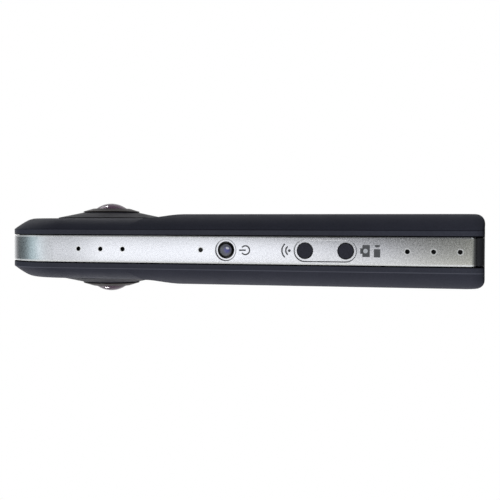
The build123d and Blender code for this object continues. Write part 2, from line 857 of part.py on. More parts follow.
def build_microphone_board():
    """Small board with one microphone can behind each of the upper holes."""
    rows = hole_row(microphone_first_hole)
    can_out = band_inside - mesh_thickness - slip_gap * 2
    board_out = can_out - microphone_can
    board_x = (board_out - microphone_board_thickness, board_out)
    board_z = (rows[0] - microphone_margin, rows[-1] + microphone_margin)
    board = slab(board_x, (-microphone_board_half, microphone_board_half), board_z)
    for height in rows:
        board += slab((board_out, can_out), (-microphone_half, microphone_half),
                      spread(height, microphone_half))
        board -= rod_x(hole_radius, (board_out, can_out + overrun), 0, height)
    return board


def build_key_board():
    low = mode_height - key_board_margin
    high = status_height + key_board_margin
    x_range = (key_board_place, key_board_place + key_board_thickness)
    return slab(x_range, (-key_board_half, key_board_half), (low, high))


def switch_top():
    """Outer face of the key switches."""
    return key_board_place + key_board_thickness + slip_gap + switch_height


def build_key_switches():
    """Three small switches, each with a well for its button's stem."""
    bottom = switch_top() - switch_height
    switches = []
    for height in (power_height, wireless_height, mode_height):
        body = slab((bottom, switch_top()), (-switch_half, switch_half), spread(height, switch_half))
        well = (switch_top() - switch_bore_depth, switch_top() + overrun)
        body -= rod_x(key_stem_radius + fit_gap, well, 0, height)
        switches.append(body)
    return switches


def build_key(height, cap_radius, face_place, crown):
    """Side button: cap in the band's opening, flange behind the band and a stem to the switch."""
    flange_out = band_inside - fit_gap
    flange_in = flange_out - key_flange_thickness
    key = rod_x(cap_radius, (flange_in, face_place + crown), 0, height)
    if crown:
        crown_radius = ball_radius(cap_radius, crown)
        key &= Pos(face_place + crown - crown_radius, 0, height) * Rot(0, 0, 180) * Sphere(crown_radius)
    key += rod_x(key_flange_radius, (flange_in, flange_out), 0, height)
    key += rod_x(key_stem_radius, (switch_top() - key_stem_entry, flange_in), 0, height)
    return key


def build_keys():
    recess_floor = half_width - key_recess_depth
    flat_face = recess_floor + key_face_sink
    full_radius = key_opening_radius - fit_gap
    power = build_key(power_height, key_opening_radius - power_button_gap, recess_floor, power_dome_rise)
    wireless = build_key(wireless_height, full_radius, flat_face, 0)
    mode = build_key(mode_height, full_radius, flat_face, 0)
    return power, wireless, mode


def build_status_lamp():
    """Lamp chip on the key board and the clear pipe that carries its light to the band."""
    board_out = key_board_place + key_board_thickness + slip_gap
    chip_out = board_out + lamp_chip_height
    chip = slab((board_out, chip_out), (-lamp_chip_half, lamp_chip_half), spread(status_height, lamp_chip_half))
    pipe_range = (chip_out + slip_gap, half_width - pipe_sink)
    pipe = rod_x(hole_radius - slip_gap, pipe_range, 0, status_height)
    return chip, pipe


def build_shutter():
    """Shutter button, its switch, board and the ring let into the front shell."""
    face = -grip_half + shutter_sink
    inside = -grip_half + wall
    flange_y = (inside + fit_gap, inside + fit_gap + shutter_flange_thickness)
    board_y = (-shutter_board_high() - slip_gap - shutter_board_thickness, -shutter_board_high() - slip_gap)
    switch_low = board_y[0] - slip_gap - shutter_switch_height
    button = rod_y(shutter_radius, (face, flange_y[0]), 0, shutter_height)
    button += rod_y(shutter_flange_radius, flange_y, 0, shutter_height)
    button += rod_y(shutter_stem_radius, (flange_y[1], switch_low + shutter_stem_entry), 0, shutter_height)
    dish_radius = ball_radius(shutter_radius, shutter_crown)
    button -= Pos(0, face + shutter_crown - dish_radius, shutter_height) * Sphere(dish_radius)
    switch = slab((-shutter_switch_half, shutter_switch_half), (switch_low, board_y[0] - slip_gap),
                  spread(shutter_height, shutter_switch_half))
    well = (switch_low - overrun, switch_low + shutter_switch_bore)
    switch -= rod_y(shutter_stem_radius + fit_gap, well, 0, shutter_height)
    board = slab((-shutter_board_half_width, shutter_board_half_width), board_y,
                 spread(shutter_height, shutter_board_half_height))
    ring_y = (-grip_half, -grip_half + shutter_ring_depth - slip_gap)
    ring = rod_y(shutter_radius + shutter_ring_width - slip_gap, ring_y, 0, shutter_height)
    ring -= rod_y(shutter_radius + fit_gap, (-grip_half - overrun, 0), 0, shutter_height)
    return button, switch, board, ring


def build_lamp_window():
    """Smoked window for the front lamps, with a flange inside the shell."""
    inside = -grip_half + wall + slip_gap
    window = lamp_slot(lamp_window_length, lamp_window_radius, (-grip_half + lamp_window_sink, inside), 0)
    flange_y = (inside, inside + lamp_flange_thickness)
    flange_length = lamp_window_length + lamp_flange_margin * 2
    window += lamp_slot(flange_length, lamp_window_radius + lamp_flange_margin, flange_y, 0)
    return window


def build_main_board():
    """Main circuit board behind the plate, notched round the microphone jack."""
    board = slab((board_low_x, board_high_x), (board_low, board_high), (board_start, board_top))
    jack_half = jack_half_width + fit_gap * 2
    board -= slab(spread(jack_place, jack_half), (0, grip_half), (0, jack_height + fit_gap * 2))
    foot_half = foot_half_width + fit_gap * 2
    board -= slab((-foot_half, foot_half), (0, grip_half), (0, foot_top + fit_gap * 2))
    for x_place in (-board_screw_x, board_screw_x):
        for row in board_screw_rows:
            board -= rod_y(small_screw_radius + fit_gap, (0, grip_half), x_place, row)
    return board


def build_board_parts():
    """Chips, shield can, heat spreader and connectors on the outer side of the main board."""
    seat = board_high + slip_gap
    half = processor_size / 2
    processor = slab((-half, half), (seat, seat + processor_height), spread(processor_place, half))
    half = memory_size / 2
    memory = slab((-half, half), (seat, seat + memory_height), spread(memory_place, half))
    can = slab(spread(0, wireless_width / 2), (seat, seat + wireless_can_height),
               spread(wireless_can_place, wireless_length / 2))
    plate_low = seat + processor_height + slip_gap
    spreader = slab(spread(0, spreader_width / 2), (plate_low, plate_low + spreader_thickness),
                    (memory_place - memory_size / 2, processor_place + processor_size / 2))
    connectors = []
    top_row = (board_top - connector_length, board_top)
    sensor_x = lens_frame_half_width + sensor_board_thickness + slip_gap * 3
    for side in (-1, 1):
        inner = side * (sensor_x - fit_gap)
        connector_x = sorted((inner, inner - side * connector_width / 2))
        connectors.append(slab(connector_x, (seat, seat + connector_height), top_row))
    return processor, memory, can, spreader, connectors


def build_battery():
    """Flat cell in front of the plate, and the strip from its end through the plate."""
    back = -plate_half - slip_gap
    cell = slab((-battery_half_width, battery_half_width), (back - battery_thickness, back),
                (battery_start, battery_top))
    cell = fillet(cell.edges().filter_by(Axis.Z), battery_corner)
    strip_z = (battery_top + fit_gap, battery_top + fit_gap + flex_thickness)
    strip_y = (back - battery_thickness / 2, board_low - slip_gap)
    strip = slab(spread(battery_flex_place, battery_flex_width / 2), strip_y, strip_z)
    return cell, strip


def build_key_flex():
    """Strip from the key board to the main board."""
    x_range = (board_high_x - connector_width / 2, key_board_place - slip_gap)
    y_range = (board_high + slip_gap, board_high + slip_gap + flex_thickness)
    return slab(x_range, y_range, spread(wireless_height, connector_width / 2))


def build_antenna():
    """Plastic carrier on top of the lens frame and the metal antenna on it."""
    low = lens_height + lens_frame_half_height + slip_gap
    high = length - band_wall - antenna_thickness - fit_gap * 2
    half = carrier_half_width
    carrier = slab((-half, half), (-carrier_half_depth, carrier_half_depth), (low, high))
    carrier -= slab((-half + carrier_wall, half - carrier_wall), (-grip_half, carrier_half_depth - carrier_wall),
                    (low + carrier_wall, high - carrier_wall))
    plate_x = (-half + antenna_margin, half - antenna_margin)
    plate_y = (-carrier_half_depth, carrier_half_depth)
    antenna = slab(plate_x, plate_y, (high + slip_gap, high + slip_gap + antenna_thickness))
    return carrier, antenna


def build_all():
    """Every node of the camera by name."""
    nodes = {}
    nodes["front_shell"], nodes["rear_shell"] = build_shells()
    nodes["side_band"] = build_band()
    nodes["base_cap"] = build_base_cap()
    for name, piece in {**build_lens_parts(), **build_folded_optics()}.items():
        nodes["rear_" + name] = piece
        nodes["front_" + name] = to_front(piece)
    nodes["rear_sensor_flex"] = build_sensor_flex()
    nodes["front_sensor_flex"] = mirror(build_sensor_flex(), about=Plane.YZ)
    nodes["lens_frame"] = build_lens_frame()
    nodes["lens_frame_screws"] = Compound(children=build_frame_screws())
    nodes["mid_frame"] = build_mid_frame()
    nodes["tripod_insert"] = build_tripod_insert()
    nodes["base_screws"] = Compound(children=build_base_screws())
    nodes["usb_socket"], nodes["usb_tongue"] = build_usb_port()
    nodes["audio_jack"] = build_audio_jack()
    nodes["speaker"] = build_speaker()
    nodes["speaker_mesh"] = build_mesh(speaker_first_hole)
    nodes["microphone_mesh"] = build_mesh(microphone_first_hole)
    nodes["microphone_board"] = build_microphone_board()
    nodes["key_board"] = build_key_board()
    nodes["key_switches"] = Compound(children=build_key_switches())
    nodes["power_button"], nodes["wireless_button"], nodes["mode_button"] = build_keys()
    nodes["status_lamp"], nodes["status_light_pipe"] = build_status_lamp()
    shutter = build_shutter()
    nodes["shutter_button"], nodes["shutter_switch"], nodes["shutter_board"], nodes["shutter_ring"] = shutter
    nodes["lamp_window"] = build_lamp_window()
    nodes["main_board"] = build_main_board()
    nodes["board_screws"] = Compound(children=build_board_screws())
    processor, memory, can, spreader, connectors = build_board_parts()
    nodes["processor"] = processor
    nodes["memory_chip"] = memory
    nodes["wireless_module"] = can
    nodes["heat_spreader"] = spreader
    nodes["sensor_connectors"] = Compound(children=connectors)
    nodes["battery"], nodes["battery_flex"] = build_battery()
    nodes["key_flex"] = build_key_flex()
    nodes["antenna_carrier"], nodes["antenna"] = build_antenna()
    return nodes


os.makedirs("parts", exist_ok=True)
for node_name, shape in build_all().items():
    export_step(shape, f"parts/{node_name}.step")
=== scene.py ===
"""Looks of the twin-lens panoramic camera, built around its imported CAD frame. Metres throughout."""

import json
import math

import bmesh
import bpy
from mathutils import Matrix, Vector


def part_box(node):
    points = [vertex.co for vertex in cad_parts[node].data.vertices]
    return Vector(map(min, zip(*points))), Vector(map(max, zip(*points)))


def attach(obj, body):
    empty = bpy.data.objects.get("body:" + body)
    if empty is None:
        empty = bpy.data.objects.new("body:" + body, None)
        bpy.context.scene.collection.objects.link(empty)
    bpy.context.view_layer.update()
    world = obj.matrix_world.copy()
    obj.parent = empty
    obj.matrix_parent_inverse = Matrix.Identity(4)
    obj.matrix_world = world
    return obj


MM = 0.001

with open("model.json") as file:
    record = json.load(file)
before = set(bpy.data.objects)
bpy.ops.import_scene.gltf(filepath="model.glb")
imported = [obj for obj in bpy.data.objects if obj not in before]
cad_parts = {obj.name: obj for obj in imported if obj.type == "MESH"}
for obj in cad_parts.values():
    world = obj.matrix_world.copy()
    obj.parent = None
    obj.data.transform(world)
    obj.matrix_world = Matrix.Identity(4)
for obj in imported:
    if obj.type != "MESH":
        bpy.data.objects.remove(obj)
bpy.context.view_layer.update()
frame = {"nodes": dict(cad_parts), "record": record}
scene = bpy.context.scene
nodes = frame["nodes"]


def srgb(red, green, blue):
    """Linear colour of an 8-bit display colour."""
    def linear(value):
        part = value / 255
        return part / 12.92 if part <= 0.04045 else ((part + 0.055) / 1.055) ** 2.4
    return (linear(red), linear(green), linear(blue), 1.0)


# Camera: the photograph's place and angle, in the frame's metres.

photo_side = 500
sensor_width = 36.0
focal_pixels = 924.33
camera_place = Vector((248.417, 5.802, -0.046)) * MM
camera_yaw = 0.24914
camera_pitch = -0.02464
camera_roll = 0.00298


def camera_frame():
    """Rotation whose columns are the image's right, its up and the way back to the camera."""
    ahead = Vector((
        -math.cos(camera_yaw) * math.cos(camera_pitch),
        math.sin(camera_pitch),
        math.sin(camera_yaw) * math.cos(camera_pitch),
    ))
    right = ahead.cross(Vector((0, 1, 0))).normalized()
    above = right.cross(ahead)
    turned_right = math.cos(camera_roll) * right + math.sin(camera_roll) * above
    turned_above = -math.sin(camera_roll) * right + math.cos(camera_roll) * above
    return Matrix((turned_right, turned_above, -ahead)).transposed()


def make_camera():
    data = bpy.data.cameras.new("photo_camera")
    data.sensor_width = sensor_width
    data.lens = focal_pixels / photo_side * sensor_width
    data.clip_start = 0.002
    data.clip_end = 50
    camera = bpy.data.objects.new("photo_camera", data)
    camera.matrix_world = Matrix.Translation(camera_place) @ camera_frame().to_4x4()
    scene.collection.objects.link(camera)
    scene.camera = camera


# Materials: each is a small procedural graph on the object's own coordinates.

crown_radius = 0.034
band_chamfer = 0.3 * MM
seam_width = 0.32 * MM
rim_edge = 5.12 * MM
recess_radius = 2.7 * MM
key_opening_radius = 2.07 * MM
hole_radius = 0.55 * MM
hole_pitch = 6.24 * MM
side_on = (0.0, 1.0, 1.0)


def box_middles(*names):
    """Middle of each named node's box."""
    boxes = [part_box(name) for name in names]
    return [(Vector(low) + Vector(high)) / 2 for low, high in boxes]


def half_size(name, axis):
    """Half of a node's size along one axis of the frame."""
    low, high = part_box(name)
    return (high[axis] - low[axis]) / 2


class Graph:
    """A node tree under construction, with short calls for the nodes that the finishes share."""

    def __init__(self, holder, output="ShaderNodeOutputMaterial", place="Object"):
        holder.use_nodes = True
        self.tree = holder.node_tree
        self.tree.nodes.clear()
        self.output = self.tree.nodes.new(output)
        self.place = self.tree.nodes.new("ShaderNodeTexCoord").outputs[place]

    def node(self, kind, **settings):
        made = self.tree.nodes.new(kind)
        for name, value in settings.items():
            setattr(made, name, value)
        return made

    def link(self, source, target):
        self.tree.links.new(source, target)

    def feed(self, target, value):
        if isinstance(value, bpy.types.NodeSocket):
            self.link(value, target)
        else:
            target.default_value = value

    def noise(self, scale, detail=3.0, roughness=0.55):
        made = self.node("ShaderNodeTexNoise")
        made.inputs["Scale"].default_value = scale
        made.inputs["Detail"].default_value = detail
        made.inputs["Roughness"].default_value = roughness
        self.link(self.place, made.inputs["Vector"])
        return made.outputs["Fac"]

    def cells(self, scale):
        made = self.node("ShaderNodeTexVoronoi")
        made.inputs["Scale"].default_value = scale
        self.link(self.place, made.inputs["Vector"])
        return made.outputs["Distance"]

    def waves(self, scale, direction):
        made = self.node("ShaderNodeTexWave", bands_direction=direction)
        made.inputs["Scale"].default_value = scale
        self.link(self.place, made.inputs["Vector"])
        return made.outputs["Fac"]

    def span(self, value, low, high, to_low=0.0, to_high=1.0, smooth=False):
        kind = "SMOOTHSTEP" if smooth else "LINEAR"
        made = self.node("ShaderNodeMapRange", interpolation_type=kind)
        self.feed(made.inputs["Value"], value)
        made.inputs["From Min"].default_value = low
        made.inputs["From Max"].default_value = high
        made.inputs["To Min"].default_value = to_low
        made.inputs["To Max"].default_value = to_high
        return made.outputs["Result"]

    def fall(self, value, low, high, smooth=False):
        """Mask that falls from one at low to nothing at high."""
        return self.span(value, low, high, 1.0, 0.0, smooth)

    def apply(self, operation, first, second=0.0):
        made = self.node("ShaderNodeMath", operation=operation)
        self.feed(made.inputs[0], first)
        self.feed(made.inputs[1], second)
        return made.outputs["Value"]

    def add(self, first, second):
        return self.apply("ADD", first, second)

    def times(self, first, second):
        """Product, so for two masks the part where both hold."""
        return self.apply("MULTIPLY", first, second)

    def either(self, first, second):
        """The larger value, so for two masks the part where one of them holds."""
        return self.apply("MAXIMUM", first, second)

    def outside(self, mask):
        return self.apply("SUBTRACT", 1.0, mask)

    def near(self, value, place, full, gone):
        """Mask of where value is within full of place. It has faded out at gone."""
        off = self.apply("ABSOLUTE", self.apply("SUBTRACT", value, place))
        return self.fall(off, full, gone)

    def axis(self, letter):
        made = self.node("ShaderNodeSeparateXYZ")
        self.link(self.place, made.inputs["Vector"])
        return made.outputs[letter]

    def facing(self, direction):
        made = self.node("ShaderNodeVectorMath", operation="DOT_PRODUCT")
        self.link(self.place, made.inputs[0])
        made.inputs[1].default_value = Vector(direction).normalized()
        return made.outputs["Value"]

    def apart(self, points):
        """Distance to the nearest of the given points, as seen from the key side."""
        nearest = None
        for point in points:
            away = self.node("ShaderNodeVectorMath", operation="SUBTRACT")
            self.link(self.place, away.inputs[0])
            away.inputs[1].default_value = point
            kept = self.node("ShaderNodeVectorMath", operation="MULTIPLY")
            self.link(away.outputs["Vector"], kept.inputs[0])
            kept.inputs[1].default_value = side_on
            reach = self.node("ShaderNodeVectorMath", operation="LENGTH")
            self.link(kept.outputs["Vector"], reach.inputs[0])
            length = reach.outputs["Value"]
            nearest = self.apply("MINIMUM", nearest, length) if nearest else length
        return nearest

    def blend(self, amount, first, second):
        made = self.node("ShaderNodeMix", data_type="RGBA")
        self.feed(made.inputs["Factor"], amount)
        self.feed(made.inputs["A"], first)
        self.feed(made.inputs["B"], second)
        return made.outputs["Result"]

    def bump(self, height, strength, distance, soften=0.0):
        made = self.node("ShaderNodeBump")
        made.inputs["Strength"].default_value = strength
        made.inputs["Distance"].default_value = distance
        self.link(height, made.inputs["Height"])
        if soften:
            edge = self.node("ShaderNodeBevel")
            edge.inputs["Radius"].default_value = soften
            self.link(edge.outputs["Normal"], made.inputs["Normal"])
        return made.outputs["Normal"]

    def shader(self, colour, roughness, normal, **constants):
        made = self.node("ShaderNodeBsdfPrincipled")
        self.feed(made.inputs["Base Color"], colour)
        self.feed(made.inputs["Roughness"], roughness)
        self.link(normal, made.inputs["Normal"])
        for name, value in constants.items():
            made.inputs[name.replace("_", " ")].default_value = value
        self.link(made.outputs["BSDF"], self.output.inputs["Surface"])
        return made


def new_material(name):
    material = bpy.data.materials.new(name)
    return material, Graph(material)


def moulded(name, dark, light, roughness, grain, depth, soften=0.0, **constants):
    """Plastic: fine moulded grain, slow mottling of the tint and handling marks in the gloss."""
    material, graph = new_material(name)
    fine = graph.noise(grain, 4.0, 0.6)
    slow = graph.noise(grain / 40, 2.0)
    tint = graph.add(graph.span(fine, 0.3, 0.7, 0.0, 0.55), graph.span(slow, 0.3, 0.7, 0.0, 0.45))
    colour = graph.blend(tint, dark, light)
    handled = graph.noise(grain / 25, 3.0, 0.65)
    gloss = graph.span(handled, 0.25, 0.75, roughness - 0.06, roughness + 0.06)
    normal = graph.bump(fine, 0.35, depth, soften)
    graph.shader(colour, gloss, normal, **constants)
    return material


def metal(name, dark, light, roughness, grain, depth, soften=0.0):
    """Metal: blasted or cast grain whose small facets catch the light, over slow tone changes."""
    material, graph = new_material(name)
    fine = graph.noise(grain, 5.0, 0.7)
    fleck = graph.cells(grain * 0.8)
    slow = graph.noise(grain / 60, 2.0)
    tint = graph.add(graph.span(fine, 0.3, 0.7, 0.0, 0.5), graph.span(slow, 0.3, 0.7, 0.0, 0.3))
    tint = graph.add(tint, graph.span(fleck, 0.1, 0.8, 0.0, 0.2))
    colour = graph.blend(tint, dark, light)
    gloss = graph.span(fine, 0.3, 0.7, roughness - 0.05, roughness + 0.07)
    normal = graph.bump(fine, 0.4, depth, soften)
    graph.shader(colour, gloss, normal, Metallic=1.0)
    return material


def glass(name, tint, roughness, smudge, **constants):
    """Glass: clear, with faint wiping marks in its gloss and a ripple too small to bend the view."""
    material, graph = new_material(name)
    wiped = graph.noise(smudge, 4.0, 0.7)
    lighter = tuple(min(1.0, part * 1.12) for part in tint)
    colour = graph.blend(graph.span(wiped, 0.3, 0.7), tint, lighter)
    gloss = graph.span(wiped, 0.35, 0.75, roughness, roughness + 0.05)
    normal = graph.bump(graph.noise(smudge * 3), 0.02, 0.00001)
    graph.shader(colour, gloss, normal, Transmission_Weight=1.0, **constants)
    return material


def shell_finish():
    """Soft-touch plastic: fine grain on the faces and a smoother rim beside the band. The rim's paler
    colour is painted light, the crease carries a painted highlight and painted shade, and the seam line
    is a painted shadow.
    """
    material, graph = new_material("shell_plastic")
    fine = graph.noise(5200, 4.0, 0.6)
    slow = graph.noise(130, 2.0)
    tint = graph.add(graph.span(fine, 0.3, 0.7, 0.0, 0.8), graph.span(slow, 0.3, 0.7, 0.0, 0.2))
    face = graph.blend(tint, srgb(46, 47, 57), srgb(61, 62, 73))
    depth = graph.axis("Y")
    across = graph.apply("ABSOLUTE", depth)
    # Painted light: the rim beside the band is drawn paler for the light its upright strip catches.
    rim = graph.fall(across, rim_edge - 0.12 * MM, rim_edge + 0.08 * MM)
    colour = graph.blend(rim, face, graph.blend(tint, srgb(54, 55, 66), srgb(70, 71, 82)))

    # Painted highlight along the crease on the -Y side and painted shade along it on the +Y side, for how
    # the light falls on them.
    crease = graph.near(across, rim_edge, 0.05 * MM, 0.16 * MM)
    lit = graph.span(depth, -MM, MM, 0.55, 0.0)
    colour = graph.blend(graph.times(crease, lit), colour, srgb(104, 105, 117))
    shade = graph.span(depth, -MM, MM, 0.0, 0.7)
    colour = graph.blend(graph.times(crease, shade), colour, srgb(18, 18, 28))
    # Painted shadow: the shell's edge next to the band is drawn near black, for the shade in the seam's
    # gap.
    seam_end = half_size("side_band", 1) + seam_width
    seam_shadow = graph.fall(across, seam_end - 0.06 * MM, seam_end + 0.06 * MM)
    colour = graph.blend(seam_shadow, colour, srgb(3, 3, 6))

    handled = graph.span(graph.noise(210, 3.0, 0.65), 0.25, 0.75, 0.54, 0.64)
    gloss = graph.apply("SUBTRACT", handled, graph.times(rim, 0.14))
    gloss = graph.add(gloss, graph.times(seam_shadow, 0.3))
    normal = graph.bump(fine, 0.35, 0.00002, 0.00008)
    graph.shader(colour, gloss, normal, IOR=1.16)
    return material


def recess_shade_line(graph):
    """Painted shade line where the band steps down round the power key and round the pair of small keys,
    heavier on the -Y side.
    """
    wireless, mode, power = box_middles("wireless_button", "mode_button", "power_button")
    rise = graph.axis("Z")
    over_mode = graph.apply("GREATER_THAN", rise, mode.z)
    between = graph.times(over_mode, graph.apply("LESS_THAN", rise, wireless.z))
    beside = graph.apply("ABSOLUTE", graph.apply("SUBTRACT", graph.axis("Y"), wireless.y))
    ends = graph.apart([wireless, mode])
    slot = graph.add(graph.times(between, beside), graph.times(graph.outside(between), ends))
    single = graph.apart([power])
    lines = [graph.near(reach, recess_radius, 0.07 * MM, 0.15 * MM) for reach in (slot, single)]
    face = half_size("side_band", 0)
    outward = graph.span(graph.axis("X"), face - 0.3 * MM, face - 0.2 * MM)
    side_shade = graph.span(graph.axis("Y"), -recess_radius, recess_radius, 1.0, 0.3)
    return graph.times(graph.times(graph.either(*lines), outward), side_shade)


def opening_shade_and_halo(graph):
    """Masks on the key side: painted shade on the walls of the holes and key openings and on a ring round
    the power key's opening, and a painted highlight ring round each hole.
    """
    steps = (-hole_pitch, 0.0, hole_pitch)
    rows = box_middles("speaker_mesh", "microphone_mesh")
    holes = [middle + Vector((0, 0, step)) for middle in rows for step in steps]
    hole = graph.apart(holes + box_middles("status_light_pipe"))
    small = graph.apart(box_middles("wireless_button", "mode_button"))
    power = graph.apart(box_middles("power_button"))
    # Painted shade: near black on the hole walls, the small keys' openings and a ring round the power
    # key's opening.
    shaded_wall = graph.fall(hole, hole_radius + 0.01 * MM, hole_radius + 0.03 * MM)
    for reach, dark, clear in ((small, 0.01 * MM, 0.03 * MM), (power, 0.09 * MM, 0.17 * MM)):
        opening_shade = graph.fall(reach, key_opening_radius + dark, key_opening_radius + clear)
        shaded_wall = graph.either(shaded_wall, opening_shade)
    # Painted highlight: a bright ring round each hole.
    rim = graph.span(hole, hole_radius + 0.02 * MM, hole_radius + 0.05 * MM)
    rim = graph.times(rim, graph.fall(hole, hole_radius + 0.17 * MM, hole_radius + 0.35 * MM))
    key_side = graph.apply("GREATER_THAN", graph.axis("X"), 0.0)
    return graph.times(shaded_wall, key_side), graph.times(rim, key_side)


def band_painted_shade(graph, face):
    """Painted shade along the band: the face is drawn warmer and darker towards the base, and darker from
    the middle towards the lenses, easing off again near the top end.
    """
    rise = graph.axis("Z")
    face = graph.blend(graph.span(rise, 0.0, 24 * MM, 0.5, 0.0), face, srgb(160, 158, 126))
    # Painted shade: darker towards the lenses, easing off near the top end.
    shading = graph.span(rise, 55 * MM, 85 * MM, 0.0, 0.11)
    shading = graph.add(shading, graph.span(rise, 98 * MM, 106 * MM, 0.0, 0.2))
    shading = graph.add(shading, graph.span(rise, 114 * MM, 119 * MM, 0.0, -0.31))
    return graph.blend(shading, face, srgb(30, 34, 38))


def band_finish():
    """Clear-coated blasted aluminium: sparkle grain, a slightly crowned face and brighter cut edges, with
    painted highlight lines and painted shade along the band, in its openings and round its recesses.
    """
    material, graph = new_material("blasted_aluminium")
    sparkle = graph.noise(2300, 4.0, 0.8)
    fine = graph.noise(8000, 2.0, 0.6)
    slow = graph.noise(60, 2.0)
    tint = graph.add(graph.span(sparkle, 0.36, 0.64, 0.0, 0.7), graph.span(slow, 0.3, 0.7, 0.0, 0.12))
    tint = graph.add(tint, graph.span(fine, 0.36, 0.64, 0.0, 0.18))
    face = band_painted_shade(graph, graph.blend(tint, srgb(184, 185, 189), srgb(241, 242, 245)))
    rise = graph.axis("Z")
    # Painted shade: the band's last millimetre by the base is drawn dark where it curves in.
    base_end_shade = graph.span(rise, 2.2 * MM, 3.2 * MM, 0.95, 0.0, smooth=True)
    face = graph.blend(base_end_shade, face, srgb(52, 52, 56))

    depth = graph.axis("Y")
    across = graph.apply("ABSOLUTE", depth)
    flat_half = half_size("side_band", 1) - band_chamfer
    above = graph.outside(base_end_shade)
    cut = graph.times(graph.span(across, flat_half - 0.01 * MM, flat_half + 0.05 * MM), above)
    # Painted highlight: a near-white line just inside each chamfer, on the -Y side all along and on the
    # +Y side towards the top, and a bright ring round each hole.
    edge = graph.span(across, flat_half - 0.2 * MM, flat_half - 0.1 * MM)
    lit = graph.either(graph.fall(depth, -MM, MM), graph.span(rise, 45 * MM, 85 * MM, 0.0, 0.8))
    shaded_wall, rim = opening_shade_and_halo(graph)
    pale = graph.times(graph.either(graph.times(edge, lit), graph.times(rim, 0.7)), above)
    colour = graph.blend(cut, face, srgb(242, 243, 247))
    colour = graph.blend(pale, colour, srgb(248, 248, 248))
    # Painted shade line round the key recesses.
    colour = graph.blend(recess_shade_line(graph), colour, srgb(40, 41, 47))
    # Painted shade: near black in the holes and key openings.
    colour = graph.blend(shaded_wall, colour, srgb(3, 3, 4))

    satin = graph.span(sparkle, 0.3, 0.7, 0.22, 0.32)
    gloss = graph.apply("SUBTRACT", satin, graph.times(cut, 0.12))
    grain = graph.add(graph.times(sparkle, 0.0000022), graph.times(fine, 0.000001))
    crown = graph.times(graph.times(depth, depth), -0.5 / crown_radius)
    off_flat = graph.either(graph.apply("SUBTRACT", across, flat_half), 0.0)
    form = graph.add(crown, graph.times(off_flat, graph.times(above, 0.6)))
    normal = graph.bump(graph.add(grain, form), 1.0, 1.0, 0.00006)
    surface = graph.shader(colour, gloss, normal)
    # Metallic is lowered where the highlights and the shade are painted, so they take diffuse light.
    bare = graph.span(graph.either(pale, shaded_wall), 0.0, 1.0, 0.92, 0.12)
    graph.feed(surface.inputs["Metallic"], bare)
    return material


def power_key_finish():
    """Smoked translucent dome: grey body with a painted bluish highlight pool and painted white glints,
    and a near-black rim painted as shade round its edge.
    """
    material, graph = new_material("smoked_key")
    middle = box_middles("power_button")[0]
    cloud = graph.noise(900, 3.0)
    body = graph.blend(graph.span(cloud, 0.3, 0.7), srgb(94, 95, 104), srgb(124, 125, 135))
    # Painted highlight: a bluish pool of reflected light a little off the middle.
    highlight_pool = graph.apart([middle + Vector((0, 0, -0.3 * MM))])
    lit = graph.blend(graph.fall(highlight_pool, 0.2 * MM, 1.2 * MM, smooth=True), body, srgb(92, 93, 164))
    # Painted glints: two small white highlight spots.
    glints = [middle + Vector((0, y * MM, z * MM)) for y, z in ((0.42, -0.6), (0.52, -0.3))]
    spot = graph.fall(graph.apart(glints), 0.08 * MM, 0.42 * MM, smooth=True)
    lit = graph.blend(spot, lit, srgb(246, 246, 255))
    # Painted shade: the key's edge is drawn near black for the shade of the gap round it.
    rim = graph.span(graph.apart([middle]), 1.42 * MM, 1.58 * MM, smooth=True)
    colour = graph.blend(rim, lit, srgb(1, 1, 4))
    gloss = graph.span(cloud, 0.3, 0.7, 0.1, 0.18)
    normal = graph.bump(cloud, 0.02, 0.00001, 0.00008)
    graph.shader(colour, gloss, normal, IOR=1.36, Coat_Weight=0.2, Coat_Roughness=0.06, Coat_IOR=1.3)
    return material


def small_key_finish():
    """Matte key plastic, with near black on the rounded rims of the two small keys."""
    material, graph = new_material("matte_key")
    fine = graph.noise(3200, 4.0, 0.6)
    face = graph.blend(graph.span(fine, 0.32, 0.68), srgb(28, 28, 42), srgb(44, 44, 60))
    across = graph.apart(box_middles("wireless_button", "mode_button"))
    rim = graph.times(graph.span(across, 1.72 * MM, 1.9 * MM), graph.fall(across, 3.0 * MM, 3.1 * MM))
    colour = graph.blend(rim, face, srgb(6, 6, 12))
    gloss = graph.span(graph.noise(140, 3.0, 0.65), 0.25, 0.75, 0.46, 0.56)
    normal = graph.bump(fine, 0.35, 0.00002, 0.00012)
    graph.shader(colour, gloss, normal, Specular_IOR_Level=0.3)
    return material


def woven(name, dark, light, pitch):
    """Wire or fabric mesh: two crossing sets of threads raised in turn."""
    material, graph = new_material(name)
    across = graph.waves(1 / pitch, "Z")
    along = graph.waves(1 / pitch, "Y")
    weave = graph.times(across, along)
    colour = graph.blend(graph.span(weave, 0.1, 0.8), dark, light)
    gloss = graph.span(weave, 0.0, 1.0, 0.5, 0.75)
    graph.shader(colour, gloss, graph.bump(weave, 0.8, 0.00005))
    return material


def board_finish():
    """Solder mask: green over routed copper, whose runs stand up a little."""
    material, graph = new_material("solder_mask")
    runs = graph.node("ShaderNodeTexBrick", offset=0.35)
    runs.inputs["Scale"].default_value = 420
    runs.inputs["Mortar Size"].default_value = 0.03
    graph.link(graph.place, runs.inputs["Vector"])
    lines = graph.span(runs.outputs["Fac"], 0.2, 0.8)
    mottle = graph.noise(900, 3.0)
    mask = graph.blend(graph.span(mottle, 0.3, 0.7), srgb(12, 74, 40), srgb(18, 96, 54))
    colour = graph.blend(lines, mask, srgb(38, 122, 74))
    gloss = graph.span(mottle, 0.3, 0.7, 0.28, 0.4)
    graph.shader(colour, gloss, graph.bump(lines, 0.4, 0.00003))
    return material


